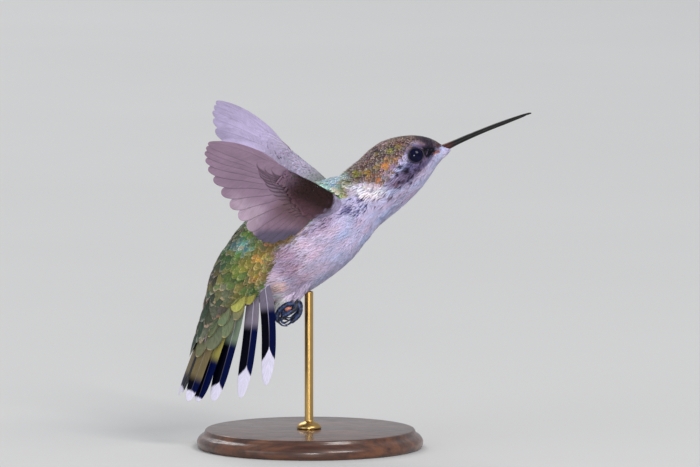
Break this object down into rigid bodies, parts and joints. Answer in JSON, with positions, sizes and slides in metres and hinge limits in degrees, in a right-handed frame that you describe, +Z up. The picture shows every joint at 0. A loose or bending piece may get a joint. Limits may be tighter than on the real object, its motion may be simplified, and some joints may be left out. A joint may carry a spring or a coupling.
{
  "type": "ruby-throated hummingbird",
  "caption": "Life-size ruby-throated hummingbird, a female or young bird hovering with raised wings and a fanned tail, as a still museum model on a small display stand.",
  "frame": {"origin": "centre of the stand base's underside, where it stands on a shelf", "axes": "+X the way the bird faces, +Y the bird's left side, +Z up"},
  "size_m": [0.066, 0.0926, 0.0627],
  "materials": {
    "plumage": "soft overlapping feathers, iridescent green and gold-brown above, greyish white below",
    "flight_feathers": "stiff vanes, dusky brown with a faint purple sheen",
    "tail_feathers": "stiff vanes, bronze-green in the middle, the outer ones blue-black with white tips",
    "eye": "wet gloss, nearly black",
    "bill": "black horn, satin",
    "foot": "scaly skin, blue-black",
    "stand_wood": "dark stained, satin varnish",
    "stand_brass": "satin"
  },
  "bodies": {
    "root": {"head": "plumage", "neck": "plumage", "trunk": "plumage", "rump": "plumage", "eye_right": "eye", "eye_left": "eye", "bill_upper": "bill", "bill_lower": "bill", "wing_right_arm": "plumage", "wing_right_primaries": "flight_feathers", "wing_right_secondaries": "flight_feathers", "wing_left_arm": "plumage", "wing_left_primaries": "flight_feathers", "wing_left_secondaries": "flight_feathers", "tail_feather_right_1": "tail_feathers", "tail_feather_right_2": "tail_feathers", "tail_feather_right_3": "tail_feathers", "tail_feather_right_4": "tail_feathers", "tail_feather_right_5": "tail_feathers", "tail_feather_left_1": "tail_feathers", "tail_feather_left_2": "tail_feathers", "tail_feather_left_3": "tail_feathers", "tail_feather_left_4": "tail_feathers", "tail_feather_left_5": "tail_feathers", "leg_right": "plumage", "leg_left": "plumage", "foot_right": "foot", "foot_left": "foot", "stand_base": "stand_wood", "stand_rod": "stand_brass"}
  },
  "joints": []
}
